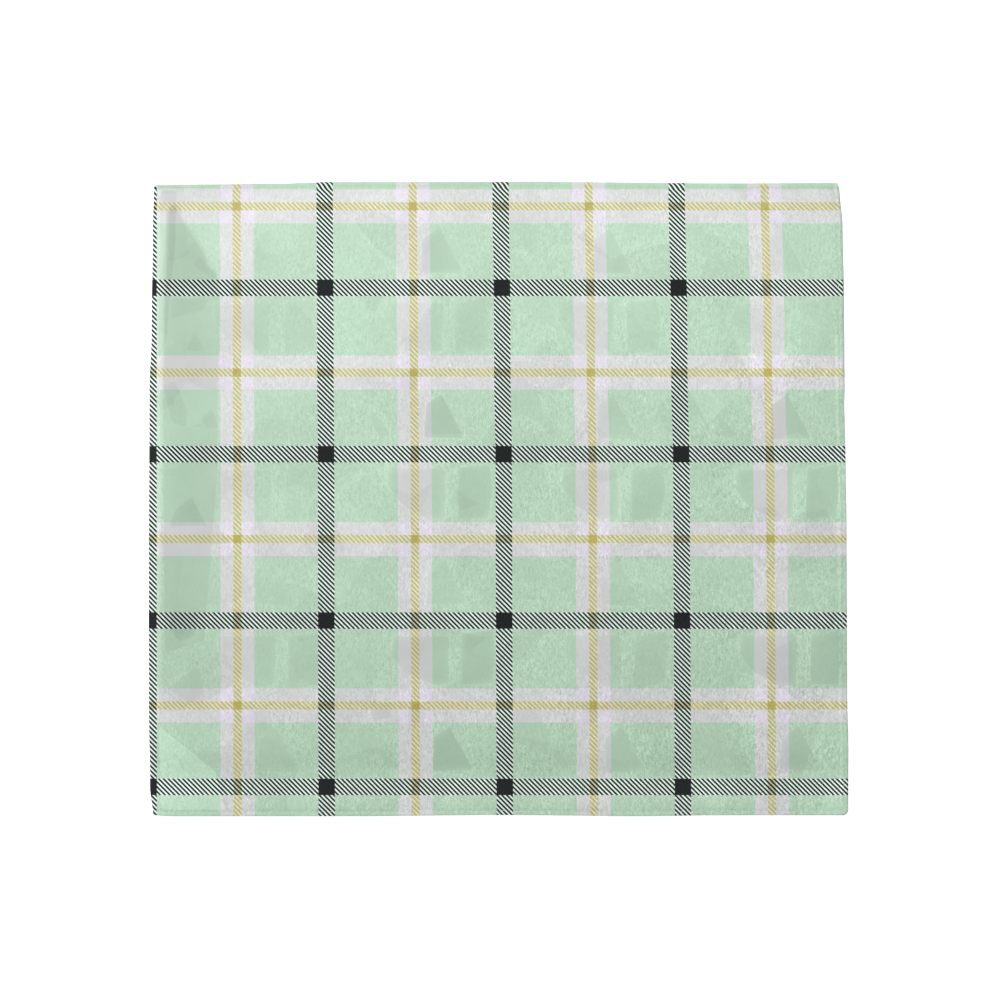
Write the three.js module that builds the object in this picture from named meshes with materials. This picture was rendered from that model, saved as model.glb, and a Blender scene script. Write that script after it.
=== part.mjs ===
// Folded neckerchief: one hemmed cloth, folded in half from side to side and then in half again from top to bottom.
// Millimetres. X runs along the top fold, Y from the open lower hems up to that fold, and Z is up.
// The origin is the middle of the underside. The printed face is outside on the top and on the underside.
import * as THREE from "three";

// Driving dimensions
const WIDTH = 275;
const HEIGHT = 249.5;
const CLOTH = 1.0;
const LAYER_GAP = 0.75;
const HEM_WIDTH = 2.4;
const HEM_EXTRA = 0.2;
const HEM_TAPER = 1.2;

// Steps of the mesh along the cloth, for half of the cut in each direction
const FLAT_STEPS_ACROSS = 17;
const FLAT_STEPS_DOWN = 16;
const FOLD_STEPS = 8;

// Sizes that follow from the driving dimensions
const PITCH = CLOTH + LAYER_GAP;
const SIDE_FOLD_RADIUS = PITCH / 2;
const TOP_FOLD_RADIUS = PITCH;
const SIDE_FOLD_ARC = (Math.PI / 2) * SIDE_FOLD_RADIUS;
const TOP_FOLD_ARC = (Math.PI / 2) * TOP_FOLD_RADIUS;
const SIDE_FOLD_REACH = SIDE_FOLD_RADIUS + CLOTH / 2;
const TOP_FOLD_REACH = TOP_FOLD_RADIUS + SIDE_FOLD_REACH;
const STACK = 2 * TOP_FOLD_REACH;
const HALF_CUT_WIDTH = WIDTH - SIDE_FOLD_REACH + SIDE_FOLD_ARC;
const HALF_CUT_HEIGHT = HEIGHT - TOP_FOLD_REACH + TOP_FOLD_ARC;

// The outline, as insets from the box of the folded cloth. "at" is measured down from the top or across from the left.
const LEFT_INSET = [
  { at: 2, inset: 2.0 },
  { at: 18, inset: 1.6 },
  { at: 60, inset: 1.1 },
  { at: 80, inset: 0.3 },
  { at: 160, inset: 0.0 },
  { at: 205, inset: 0.05 },
  { at: 238, inset: 0.5 },
  { at: 249, inset: 1.6 },
];
const RIGHT_INSET = [
  { at: 1, inset: 3.5 },
  { at: 18, inset: 2.2 },
  { at: 45, inset: 1.65 },
  { at: 95, inset: 1.3 },
  { at: 140, inset: 0.75 },
  { at: 200, inset: 0.5 },
  { at: 225, inset: 0.0 },
  { at: 246, inset: 0.1 },
  { at: 249, inset: 1.4 },
];
const TOP_INSET = [
  { at: 3, inset: 1.3 },
  { at: 20, inset: 1.0 },
  { at: 50, inset: 0.7 },
  { at: 72, inset: 0.1 },
  { at: 150, inset: 0.0 },
  { at: 235, inset: 0.6 },
  { at: 272, inset: 0.4 },
];
const BOTTOM_INSET = [
  { at: 0, inset: 0.8 },
  { at: 8, inset: 0.0 },
  { at: 80, inset: 0.05 },
  { at: 138, inset: 0.5 },
  { at: 190, inset: 0.05 },
  { at: 225, inset: 0.4 },
  { at: 271, inset: 0.4 },
  { at: 275, inset: 1.2 },
];

// How far the open hems of each layer stay inside the outline, near the top fold and lower down
const LAYERS = {
  top: { rightNearFold: 1.0, right: 0.0, bottom: 0.0 },
  second: { rightNearFold: 0.0, right: 0.8, bottom: 0.6 },
  third: { rightNearFold: 0.0, right: 0.5, bottom: 1.2 },
  lowest: { rightNearFold: 1.0, right: 0.4, bottom: 0.9 },
};
const PEEP_ENDS = { from: 80, to: 105 };
const BOTTOM_PEEP_RUN = 70;

// The loosely laid layers swell a little inside the edges
const SWELL = { height: 1.1, left: 16, top: 16, right: 34, bottom: 12 };

// Main soft creases of the top, as Gaussian troughs (negative) and ridges. Angles are in degrees from +X.
const CREASES = [
  { across: 17, down: 28, angle: -58, length: 54, width: 9, height: -0.5 },
  { across: 31, down: 222, angle: -52, length: 56, width: 9, height: 0.4 },
  { across: 116, down: 30, angle: -70, length: 44, width: 9, height: -0.3 },
  { across: 180, down: 28, angle: -62, length: 46, width: 9, height: -0.3 },
  { across: 119, down: 121, angle: 90, length: 48, width: 8, height: 0.3 },
  { across: 189, down: 121, angle: 90, length: 48, width: 8, height: 0.3 },
  { across: 257, down: 121, angle: 90, length: 50, width: 8, height: 0.3 },
  { across: 137, down: 234, angle: 0, length: 330, width: 7, height: -0.5 },
];

const MINT = 0xbedcc4;

// The position between two limits as a smooth share from 0 to 1
function smooth(value, from, to) {
  return THREE.MathUtils.smoothstep(value, from, to);
}

function insetAt(table, at) {
  if (at <= table[0].at) {
    return table[0].inset;
  }
  for (let row = 1; row < table.length; row += 1) {
    const before = table[row - 1];
    const after = table[row];
    if (at <= after.at) {
      const share = smooth(at, before.at, after.at);
      return THREE.MathUtils.lerp(before.inset, after.inset, share);
    }
  }
  return table[table.length - 1].inset;
}

// A hairpin: the cloth comes in flat, turns round the fold and goes back flat.
// travel is measured along the cloth from the fold line, and side is the distance out from the cloth's middle.
function hairpin(travel, radius, arc, side) {
  if (Math.abs(travel) > arc) {
    return {
      along: Math.abs(travel) - arc,
      height: Math.sign(travel) * (radius + side),
    };
  }
  const turn = travel / radius;
  return {
    along: -(radius + side) * Math.cos(turn),
    height: (radius + side) * Math.sin(turn),
  };
}

// Share of the hem's extra thickness at a place on the cut cloth
function hemShare(u, v) {
  const inside = Math.min(
    HALF_CUT_WIDTH - Math.abs(u),
    HALF_CUT_HEIGHT - Math.abs(v),
  );
  return 1 - smooth(inside, HEM_WIDTH, HEM_WIDTH + HEM_TAPER);
}

function layerOf(u, v) {
  if (v > 0) {
    return u > 0 ? LAYERS.top : LAYERS.second;
  }
  return u > 0 ? LAYERS.lowest : LAYERS.third;
}

function swellAt(across, down) {
  return (
    SWELL.height *
    smooth(across, 0, SWELL.left) *
    smooth(down, 0, SWELL.top) *
    smooth(WIDTH - across, 0, SWELL.right) *
    smooth(HEIGHT - down, 0, SWELL.bottom)
  );
}

function creaseAt(crease, across, down) {
  const angle = THREE.MathUtils.degToRad(crease.angle);
  const x = across - crease.across;
  const y = crease.down - down;
  const along = x * Math.cos(angle) + y * Math.sin(angle);
  const beside = y * Math.cos(angle) - x * Math.sin(angle);
  const fade = Math.exp(-((along / (crease.length / 2)) ** 4));
  return crease.height * fade * Math.exp(-((beside / crease.width) ** 2));
}

// Height of the stack of layers, as a share of its height when every layer lies level
function loftAt(across, down) {
  let relief = swellAt(across, down);
  for (const crease of CREASES) {
    relief += creaseAt(crease, across, down);
  }
  return 1 + relief / STACK;
}

// A point of the folded cloth. u and v are measured on the cut cloth from the two fold lines, and side is the
// distance from the middle of the cloth towards the printed face.
function foldedPoint(u, v, side) {
  const layers = hairpin(u, SIDE_FOLD_RADIUS, SIDE_FOLD_ARC, side);
  const halves = hairpin(v, TOP_FOLD_RADIUS, TOP_FOLD_ARC, layers.height);
  const across = layers.along + SIDE_FOLD_REACH;
  const down = halves.along + TOP_FOLD_REACH;
  const height = halves.height + TOP_FOLD_REACH;

  const layer = layerOf(u, v);
  const lower = smooth(down, PEEP_ENDS.from, PEEP_ENDS.to);
  const right = insetAt(RIGHT_INSET, down)
    + THREE.MathUtils.lerp(layer.rightNearFold, layer.right, lower);
  const bottom = insetAt(BOTTOM_INSET, across) + layer.bottom * smooth(across, 0, BOTTOM_PEEP_RUN);
  const toRight = across / WIDTH;
  const toBottom = down / HEIGHT;
  const x = across + insetAt(LEFT_INSET, down) * (1 - toRight) - right * toRight;
  const y = down + insetAt(TOP_INSET, across) * (1 - toBottom) - bottom * toBottom;
  return [x - WIDTH / 2, HEIGHT / 2 - y, height * loftAt(across, down)];
}

function evenSteps(from, to, count) {
  return Array.from({ length: count }, (_, step) => from + ((to - from) * (step + 1)) / count);
}

// Places of the mesh lines along one direction of the cut cloth, from one hem to the other
function meshLines(halfCut, arc, flatSteps) {
  const hemInside = halfCut - HEM_WIDTH;
  const hemEnd = hemInside - HEM_TAPER;
  const fold = evenSteps(-arc, arc, FOLD_STEPS);
  const after = [...evenSteps(arc, hemEnd, flatSteps), hemInside, halfCut];
  const before = [arc, ...after].map((place) => -place).reverse();
  return [...before, ...fold, ...after];
}

// The closed sheet: the printed face, the reverse face and the cut edges that join them
function clothGeometry() {
  const lines = {
    u: meshLines(HALF_CUT_WIDTH, SIDE_FOLD_ARC, FLAT_STEPS_ACROSS),
    v: meshLines(HALF_CUT_HEIGHT, TOP_FOLD_ARC, FLAT_STEPS_DOWN),
  };
  const columns = lines.u.length;
  const rows = lines.v.length;
  const positions = [];
  for (const face of ["printed", "reverse"]) {
    for (const v of lines.v) {
      for (const u of lines.u) {
        const thickened = CLOTH / 2 + HEM_EXTRA * hemShare(u, v);
        const side = face === "printed" ? CLOTH / 2 : -thickened;
        positions.push(...foldedPoint(u, v, side));
      }
    }
  }

  const index = [];
  const reverse = columns * rows;
  const point = (column, row) => row * columns + column;
  const quad = (a, b, c, d) => index.push(a, b, c, a, c, d);
  for (let row = 0; row < rows - 1; row += 1) {
    for (let column = 0; column < columns - 1; column += 1) {
      const corners = [
        point(column, row),
        point(column + 1, row),
        point(column + 1, row + 1),
        point(column, row + 1),
      ];
      quad(...[...corners].reverse());
      quad(...corners.map((corner) => corner + reverse));
    }
  }

  const edge = [];
  for (let column = 0; column < columns - 1; column += 1) {
    edge.push(point(column, 0));
  }
  for (let row = 0; row < rows - 1; row += 1) {
    edge.push(point(columns - 1, row));
  }
  for (let column = columns - 1; column > 0; column -= 1) {
    edge.push(point(column, rows - 1));
  }
  for (let row = rows - 1; row > 0; row -= 1) {
    edge.push(point(0, row));
  }
  edge.forEach((here, step) => {
    const next = edge[(step + 1) % edge.length];
    quad(here, next, next + reverse, here + reverse);
  });

  const geometry = new THREE.BufferGeometry();
  geometry.setAttribute("position", new THREE.Float32BufferAttribute(positions, 3));
  geometry.setIndex(index);
  geometry.computeVertexNormals();
  return geometry;
}

// The cloth stands with the middle of its underside at the origin
function centred(geometry) {
  geometry.computeBoundingBox();
  const middle = geometry.boundingBox.getCenter(new THREE.Vector3());
  return geometry.translate(-middle.x, -middle.y, 0);
}

const satin = new THREE.MeshStandardMaterial({
  color: MINT,
  roughness: 0.55,
  metalness: 0,
});
const cloth = new THREE.Mesh(centred(clothGeometry()), satin);
cloth.name = "neckerchief_cloth";

const neckerchief = new THREE.Group();
neckerchief.add(cloth);

export default neckerchief;
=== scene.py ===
"""Folded neckerchief: a printed satin cloth with narrow sewn hems, folded in half from side to side and
then from top to bottom, lying flat on a pale floor.

The cloth is one thin sheet. Each place on the flat cut is taken round the two folds to its place in the
stack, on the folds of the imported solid. Distances in the tables and in the folding are millimetres, and a
place on the folded cloth is (across from the left fold, down from the top fold).
"""

import math
from collections import namedtuple

import bpy
import numpy as np
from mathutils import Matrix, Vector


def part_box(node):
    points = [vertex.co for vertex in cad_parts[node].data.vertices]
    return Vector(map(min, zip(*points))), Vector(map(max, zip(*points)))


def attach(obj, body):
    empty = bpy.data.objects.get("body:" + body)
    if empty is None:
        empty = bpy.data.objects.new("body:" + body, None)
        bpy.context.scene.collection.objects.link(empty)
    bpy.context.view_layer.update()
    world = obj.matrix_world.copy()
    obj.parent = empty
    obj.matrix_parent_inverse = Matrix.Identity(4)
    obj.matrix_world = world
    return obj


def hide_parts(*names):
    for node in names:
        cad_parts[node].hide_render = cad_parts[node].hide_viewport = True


bl_info = {
    "name": "Folded neckerchief",
    "version": (1, 0, 0),
    "blender": (4, 5, 0),
    "location": "3D View > Sidebar > Neckerchief",
    "description": "Makes a printed satin neckerchief folded twice, its hem stitches and a pale stage",
    "category": "Add Mesh",
}

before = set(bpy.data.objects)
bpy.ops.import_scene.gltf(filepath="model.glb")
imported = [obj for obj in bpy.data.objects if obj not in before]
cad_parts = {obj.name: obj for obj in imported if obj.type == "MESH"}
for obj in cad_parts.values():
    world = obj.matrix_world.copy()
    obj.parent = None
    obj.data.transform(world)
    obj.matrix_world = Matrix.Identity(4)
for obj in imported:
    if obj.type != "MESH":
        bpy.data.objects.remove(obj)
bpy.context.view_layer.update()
SOLID = "neckerchief_cloth"
BODY = "root"
CLOTH_NAME = "neckerchief_satin"
STITCHES_NAME = "hem_stitches"
PRINT_MAP = "PrintMap"
REVERSE_SHARE = "reverse_share"
# Names of the values that carry the patches of painted shade and painted light
SHADE_PATCH_SETS = ("main", "over", "strip", "light")
SHADE_PATCH_INSIDE = "shade_patch_inside_"
PAINTED_SHADE_TONE = "painted_shade_tone_"
FACING = "facing"
MM = 0.001

# Outline of the folded cloth: (place along the side, inset from the box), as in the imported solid
LEFT_INSET = ((2, 2.0), (18, 1.6), (60, 1.1), (80, 0.3), (160, 0.0), (205, 0.05), (238, 0.5), (249, 1.6))
RIGHT_INSET = ((1, 3.5), (18, 2.2), (45, 1.65), (95, 1.3), (140, 0.75), (200, 0.5), (225, 0.0), (249, 0.1))
TOP_INSET = ((3, 1.3), (20, 1.0), (50, 0.7), (72, 0.1), (150, 0.0), (235, 0.6), (272, 0.4))
BOTTOM_INSET = ((0, 0.35), (8, 0.0), (80, 0.05), (138, 0.5), (190, 0.05), (225, 0.4), (275, 0.4))
CORNER_RADIUS = 2.2

# How far the print leans in from the right and the bottom, without the worn corner
RIGHT_LEAN = ((0, 2.9), (60, 1.6), (140, 0.8), (249, 0.1))
BOTTOM_LEAN = 0.2

# How far the open hems of each layer stay inside the outline: on the right near the top fold, on the right
# lower down and at the bottom, and how much each of them wanders
Layer = namedtuple("Layer", "right_near_fold right bottom wander")
LAYERS = {
    "top": Layer(0.5, 0.0, 0.0, 0.0),
    "second": Layer(0.0, 0.8, 0.6, 0.3),
    "third": Layer(0.0, 0.5, 1.2, 0.35),
    "lowest": Layer(1.0, 0.4, 0.9, 0.3),
}
PEEP_ENDS = (80, 105)
BOTTOM_PEEP_RUN = 70
WANDER_LENGTHS = (61.0, 37.0, 23.0)
WANDER_PHASE_ACROSS = 1.7
WANDER_PHASE_DOWN = 0.9
WANDER_PHASE_BOTTOM = 0.5

# The loosely laid layers swell inside the edges, as a height and shares of it: (place, share). There is a
# roll along the left fold with a hollow beside it, and the cloth dips above the hems at the bottom.
SWELL_HEIGHT = 2.2
SWELL_ACROSS = ((0, 0.0), (5, 0.54), (24, 0.26), (110, 0.62), (235, 0.64), (267, 0.74), (275, 0.68))
SWELL_UPPER = ((0, 0.2), (8, 0.6), (30, 1.06), (70, 1.2), (168, 1.18), (186, 1.02))
SWELL_DOWN = (*SWELL_UPPER, (206, 0.58), (232, 0.2), (245, 0.56), (249.5, 0.52))
SWELL_BLEND = 4
BLEND_STEPS = 9

# Faint ripples all over: (degrees of the way they run, distance from crest to crest, height)
RIPPLES = ((20, 43, 0.07), (75, 31, 0.05), (128, 57, 0.08), (160, 23, 0.03))
RIPPLE_BEND = 4
RIPPLE_START = 12

# The open hems settle: the share of the height that they lose, how much it varies, the run inside the hem,
# and how much less the lower hem loses where it meets the right one
SETTLE_SHARE = 0.03
SETTLE_WAVE = 0.02
SETTLE_RUN = 3.5
SETTLE_LENGTHS = (83.0, 47.0)
SETTLE_PHASE_RIGHT = 0.7
SETTLE_PHASE_BOTTOM = 2.1
SETTLE_SHARED = 0.6

# Main soft creases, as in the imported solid: (across, down, degrees from +X, length, width, height)
SOFT_CREASES = (
    (17, 28, -58, 54, 9, -0.5),
    (31, 222, -52, 56, 9, 0.4),
    (116, 30, -70, 44, 9, -0.3),
    (180, 28, -62, 46, 9, -0.3),
    (119, 121, 90, 48, 8, 0.3),
    (189, 121, 90, 48, 8, 0.3),
    (257, 121, 90, 50, 8, 0.3),
    (137, 234, 0, 330, 7, -0.5),
)
CREASE_RELIEF = 1.8

# Patches of painted shade and painted light on the crepe. They stand in for the light and shade of its facets
# and of the slopes beside the folds and hems. The tone says how much darker a patch is painted, and below 0
# it is painted lighter.
# Patches of one set lie side by side, and the sets lie over each other. Only the main set also tilts the
# cloth.
Patch = namedtuple("Patch", "set tone corners")

# Patches of painted shade come round each painted bright bar that hangs from a level ridge. Corners are
# (across, down) from its top.
BESIDE_BAR = (
    Patch("main", 1.0, ((-24.4, 0.6), (-2.6, 0.6), (-2.6, 19.7), (-9, 20.5), (-19.7, 14.5), (-24.4, 7.5))),
    Patch("main", 1.1, ((3, 0.6), (15, -1.2), (16.2, 8.5), (14.5, 19.7), (3, 20.5))),
    Patch("over", -0.4, ((-2.1, 0.6), (2.5, 0.6), (2.5, 20), (-2.1, 20))),
)
ABOVE_BAR = (
    Patch("main", 1.0, ((-3.5, -29), (5.5, -11.5), (-10.5, -11.5), (-9.8, -24.5))),
    Patch("main", 0.55, ((-18.9, -37.4), (-13, -37.4), (-13, -30), (-19.7, -31))),
    Patch("main", 0.5, ((-33, -20), (-30.5, -21), (-24, -13), (-27.5, -12))),
    Patch("main", 0.4, ((19, -35), (29, -36), (36, -27), (37, -17), (20, -24))),
)

# Where the bars hang: across in the first row, and how far the rows below it lie to the right of it. For
# each row, the place down and how strongly the patches beside and above each of its bars show.
BARS_ACROSS = (49.9, 118.0, 186.1, 255.0)
ROW_SHIFT = 1.2
BarRow = namedtuple("BarRow", "down beside above")
BAR_ROWS = (
    BarRow(47.2, (0.5, 0.6, 0.7, 0.5), (0.3, 1.2, 1.0, 0.6)),
    BarRow(112.6, (0.4, 1.0, 0.8, 1.05), (0.2, 1.7, 0.9, 1.5)),
    BarRow(177.9, (0.7, 1.0, 0.7, 1.1), (0.4, 0.8, 0.7, 0.5)),
    BarRow(243.2, (0.0, 0.0, 0.0, 0.0), (0.7, 1.6, 1.1, 1.1)),
)
SHADE_PATCH_SEED = 11
SHADE_PATCH_UNEVEN = 0.5

# Further patches of painted shade and painted light, beside the folds, above the hems and in the lower
# corners
SHADE_PATCHES_ALONE = (
    Patch("main", 1.3, ((5.2, 9.5), (8, 7.5), (26, 36.5), (28, 41.5), (6, 41.5))),
    Patch("main", 0.6, ((7.5, 45), (23.5, 45), (20, 50), (8, 53))),
    Patch("main", 0.6, ((14, 66), (17, 58.5), (21.5, 66))),
    Patch("main", 0.9, ((5.4, 79), (10.2, 78), (15.3, 90), (14.5, 96), (9, 94))),
    Patch("main", 1.0, ((18, 95.5), (25, 88.5), (27.5, 96.5))),
    Patch("main", 1.1, ((16.9, 123.5), (23, 135), (8, 135), (11, 128))),
    Patch("main", 1.1, ((9.5, 168.5), (20, 170), (18, 178.5), (12, 180.5), (8, 174.5))),
    Patch("main", 0.9, ((7.5, 199), (19.5, 190), (22, 200), (17, 205))),
    Patch("main", 0.6, ((38, 208), (48, 208), (48, 217.5), (39, 217.5))),
    Patch("main", 1.0, ((87, 205.5), (96, 204.5), (95, 211), (88, 211.5))),
    # Painted shade inside the dark fan at the top left, and painted light in the lower right corner
    Patch("over", 0.5, ((6, 10), (8.2, 9.5), (13.5, 18), (14.5, 28), (6.5, 31))),
    Patch("over", 0.8, ((18.5, 28), (26.5, 36.5), (24, 37.5), (16.5, 32))),
    Patch("over", -1.2, ((268, 236), (274.5, 234), (274.5, 249), (263, 249))),
    # Painted shade in a band beside the left roll and along the top fold, painted light above the bottom hem,
    # and painted highlights along the bottom and right hems
    Patch("strip", 1.0, ((5.2, 41.8), (27.1, 41.8), (27.1, 112), (22, 180), (6.5, 185))),
    Patch("strip", -0.6, ((30, 235), (86, 234), (80, 247), (30, 247))),
    Patch("strip", -0.6, ((122, 234.5), (254, 233.5), (254, 247), (112, 247))),
    Patch("strip", 0.5, ((3, 1), (273, 1), (273, 3.4), (3, 3.4))),
    Patch("strip", 2.2, ((1, -1), (274, -1), (274, 1), (1, 1))),
    Patch("strip", -1.2, ((1, 247.3), (272, 247.3), (272, 251), (1, 251))),
    Patch("strip", -1.6, ((271.6, 60), (272.8, 60), (272.8, 246), (271.6, 246))),
    # Painted light at the top left and in the lower corners, and painted shade beside the left fold near the
    # top
    Patch("light", -0.6, ((9.6, 7.5), (41, 7.5), (41, 39), (28.2, 39), (24.5, 32))),
    Patch("light", -2.0, ((4, 214), (14, 222), (26, 232), (29, 247), (4, 247))),
    Patch("light", -1.0, ((268, 199), (274.5, 199), (274.5, 249), (255, 249), (255, 240))),
    Patch("light", 1.2, ((3, 2.5), (9.2, 2.5), (9.2, 22), (6, 62), (3, 70))),
)
PRESSED_EDGE = 0.6
SHADE_PATCH_REACH = 3.0
PRESSED_SLOPE = 0.018
PRESSED_DOWNHILL = -42

# Places of the mesh lines inside a hem, measured from its edge
HEM_LINES = (3.1, 2.5, 2.15, 1.8, 1.45, 1.1, 0.75, 0.45, 0.22, 0.07, 0.0)
STITCH_LINE = 1.8
STITCH_GROOVE = 0.05
STITCH_GROOVE_WIDTH = 0.35
HEM_TAPER = 0.6
OUTLINE_STEPS = 401

# Steps of the mesh along half of the cut. The face that shows is finer on the top layer.
COARSE_STEPS_ACROSS = 44
COARSE_STEPS_DOWN = 40
FINE_STEPS = 5
FOLD_STEPS = 14


def colour(red, green, blue):
    """A colour as Blender keeps it, from its sRGB levels of 0 to 255."""
    levels = (red / 255, green / 255, blue / 255)
    linear = [((level + 0.055) / 1.055) ** 2.4 for level in levels]
    return (*linear, 1.0)


def number_prop(name, description, default, **kind):
    return bpy.props.FloatProperty(name=name, description=description, default=default, min=0.0, **kind)


def size_prop(name, description, millimetres):
    default = millimetres * MM
    return number_prop(name, description, default, precision=5, subtype="DISTANCE", unit="LENGTH")


def colour_prop(name, description, red, green, blue):
    default = colour(red, green, blue)
    limits = {"size": 4, "min": 0.0, "max": 1.0, "subtype": "COLOR"}
    return bpy.props.FloatVectorProperty(name=name, description=description, default=default, **limits)


class ClothSizes(bpy.types.PropertyGroup):
    """Sizes of the folded sheet."""

    width: size_prop("Folded width", "Width of the folded cloth, from the left fold to the hems", 275)
    height: size_prop("Folded height", "Height of the folded cloth, from the top fold to the hems", 249.5)
    thickness: size_prop("Thickness", "Thickness of one layer", 0.4)
    layer_pitch: size_prop("Layer pitch", "Height from the middle of one layer to the next", 1.75)
    solid_stack: size_prop("Stack height", "Height of the four layers where they lie level", 6.25)
    hem_width: size_prop("Hem width", "Width of the sewn hem", 2.5)
    hem_extra: size_prop("Hem extra", "How much thicker the hem is than the cloth", 0.5)


class PrintSettings(bpy.types.PropertyGroup):
    """Sizes and colours of the printed lines and ribbons."""

    repeat_across: size_prop("Repeat across", "Width after which the print repeats", 70)
    repeat_down: size_prop("Repeat down", "Height after which the print repeats", 65.4)
    line_width: size_prop("Dark line", "Width of the dark twill lines", 6.5)
    ribbon_width: size_prop("Ribbon", "Width of the pale ribbons", 13.4)
    accent_width: size_prop("Accent line", "Width of the ochre line inside a ribbon", 3.2)
    twill_pitch: size_prop("Twill pitch", "Distance between the diagonal strokes along a line", 1.89)
    mint: colour_prop("Mint", "Ground of the print", 167, 197, 172)
    ribbon: colour_prop("Ribbon", "Pale ribbons", 198, 200, 199)
    ribbon_crossing: colour_prop("Ribbon crossing", "Where two ribbons cross", 210, 204, 216)
    dark: colour_prop("Dark", "Dark strokes and squares", 24, 28, 28)
    dark_gap: colour_prop("Gap in dark", "Cloth between the dark strokes", 222, 240, 229)
    ochre: colour_prop("Ochre", "Ochre strokes and dots", 176, 169, 100)
    ochre_dot: colour_prop("Ochre dot", "Where two ochre lines cross", 168, 155, 54)
    ochre_gap: colour_prop("Gap in ochre", "Cloth between the ochre strokes", 209, 211, 190)


class StitchSizes(bpy.types.PropertyGroup):
    """Sizes of the sewing along the hems."""

    pitch: size_prop("Stitch pitch", "Distance from one stitch to the next", 2.8)
    length: size_prop("Stitch length", "Length of the thread that shows", 2.3)
    thread: size_prop("Thread", "Thickness of the sewing thread", 0.22)
    rise: size_prop("Rise", "How far a stitch bows up from its ends", 0.12)
    colour: colour_prop("Thread colour", "Colour of the sewing thread", 172, 194, 176)


class StageSettings(bpy.types.PropertyGroup):
    """The floor, the camera and the lights."""

    camera_height: size_prop("Camera height", "Height of the camera above the floor", 3000)
    view_width: size_prop("View width", "Width of the floor that the picture shows", 393.64)
    view_right: size_prop("View right", "How far the picture's middle lies right of the cloth's", 0.59)
    view_down: size_prop("View down", "How far the picture's middle lies below the cloth's", 0.49)
    floor_size: size_prop("Floor size", "Width of the square floor", 8000)
    floor_colour: colour_prop("Floor colour", "Colour of the pale floor", 244, 244, 244)
    floor_glow: number_prop("Floor glow", "Strength of the light that comes through the pale floor", 0.7)
    key_power: number_prop("Key power", "Power of the high soft light on the left", 183.0, unit="POWER")
    near_power: number_prop("Near power", "Power of the wide light above the top fold", 0.8, unit="POWER")
    surround: number_prop("Surround", "Strength of the pale light from all round", 0.32)


def smooth(value, low, high):
    """The position between two limits as a smooth share from 0 to 1."""
    share = np.clip((value - low) / (high - low), 0, 1)
    return share * share * (3 - 2 * share)


def eased(table, place):
    """The value of a table at places along a side, eased from one row to the next."""
    value = np.full(np.shape(place), float(table[0][1]))
    for (low, before), (high, after) in zip(table, table[1:]):
        value = value + (after - before) * smooth(place, low, high)
    return value


def flowing(table, place, blend):
    """The value of a table at places along a side, straight between its rows and rounded at them."""
    rows, values = zip(*table)
    shifts = np.linspace(-blend, blend, BLEND_STEPS)
    return sum(np.interp(place + shift, rows, values) for shift in shifts) / len(shifts)


def waves(place, lengths, phase):
    """Uneven waves between -1 and 1, from a few sines of different lengths."""
    total = 0
    for step, length in enumerate(lengths):
        total = total + np.sin(2 * math.pi * place / length + phase * (step + 1))
    return total / len(lengths)


def swell_at(across, down):
    return SWELL_HEIGHT * eased(SWELL_ACROSS, across) * flowing(SWELL_DOWN, down, SWELL_BLEND)


def ripple_at(ripple, across, down):
    degrees, length, height = ripple
    angle = math.radians(degrees)
    along = across * math.cos(angle) - down * math.sin(angle)
    beside = across * math.sin(angle) + down * math.cos(angle)
    bent = along + RIPPLE_BEND * np.sin(beside / length)
    return height * np.sin(2 * math.pi * bent / length)


def soft_crease_at(crease, across, down):
    """Height of a soft trough or ridge, which fades to its sides and its ends."""
    middle_across, middle_down, degrees, length, width, height = crease
    angle = math.radians(degrees)
    x = across - middle_across
    y = middle_down - down
    along = x * math.cos(angle) + y * math.sin(angle)
    beside = y * math.cos(angle) - x * math.sin(angle)
    fade = np.exp(-((along / (length / 2)) ** 4))
    return height * fade * np.exp(-((beside / width) ** 2))


def shade_patches():
    """Every patch, of painted shade or of painted light, with its own place. Those round the bars are a
    little uneven, by a fixed seed.
    """
    uneven = np.random.default_rng(SHADE_PATCH_SEED)
    made = [patch._replace(corners=np.array(patch.corners)) for patch in SHADE_PATCHES_ALONE]
    for row_number, row in enumerate(BAR_ROWS):
        for across, beside, above in zip(BARS_ACROSS, row.beside, row.above):
            bar = (across + ROW_SHIFT * row_number, row.down)
            for strength, patches in ((beside, BESIDE_BAR), (above, ABOVE_BAR)):
                for patch in patches:
                    shift = uneven.uniform(-SHADE_PATCH_UNEVEN, SHADE_PATCH_UNEVEN, (len(patch.corners), 2))
                    corners = np.array(patch.corners) + bar + shift
                    made.append(patch._replace(tone=patch.tone * strength, corners=corners))
    return made


def inside_patch(corners, across, down):
    """How far places lie inside a patch's outline. It is below 0 outside."""
    nearest = np.full(across.shape, np.inf)
    inside = np.zeros(across.shape, bool)
    for (start_x, start_y), (end_x, end_y) in zip(corners, np.roll(corners, -1, axis=0)):
        run_x = end_x - start_x
        run_y = end_y - start_y
        share = ((across - start_x) * run_x + (down - start_y) * run_y) / (run_x**2 + run_y**2)
        share = np.clip(share, 0, 1)
        gap = np.hypot(across - start_x - share * run_x, down - start_y - share * run_y)
        nearest = np.minimum(nearest, gap)
        if run_y:
            crossing = start_x + run_x * (down - start_y) / run_y
            inside ^= ((start_y > down) != (end_y > down)) & (across < crossing)
    return np.where(inside, nearest, -nearest)


def near_patch(corners, across, down, reach):
    """Which places lie in a patch's box or within reach of it."""
    low = corners.min(axis=0) - reach
    high = corners.max(axis=0) + reach
    return (across > low[0]) & (across < high[0]) & (down > low[1]) & (down < high[1])


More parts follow.
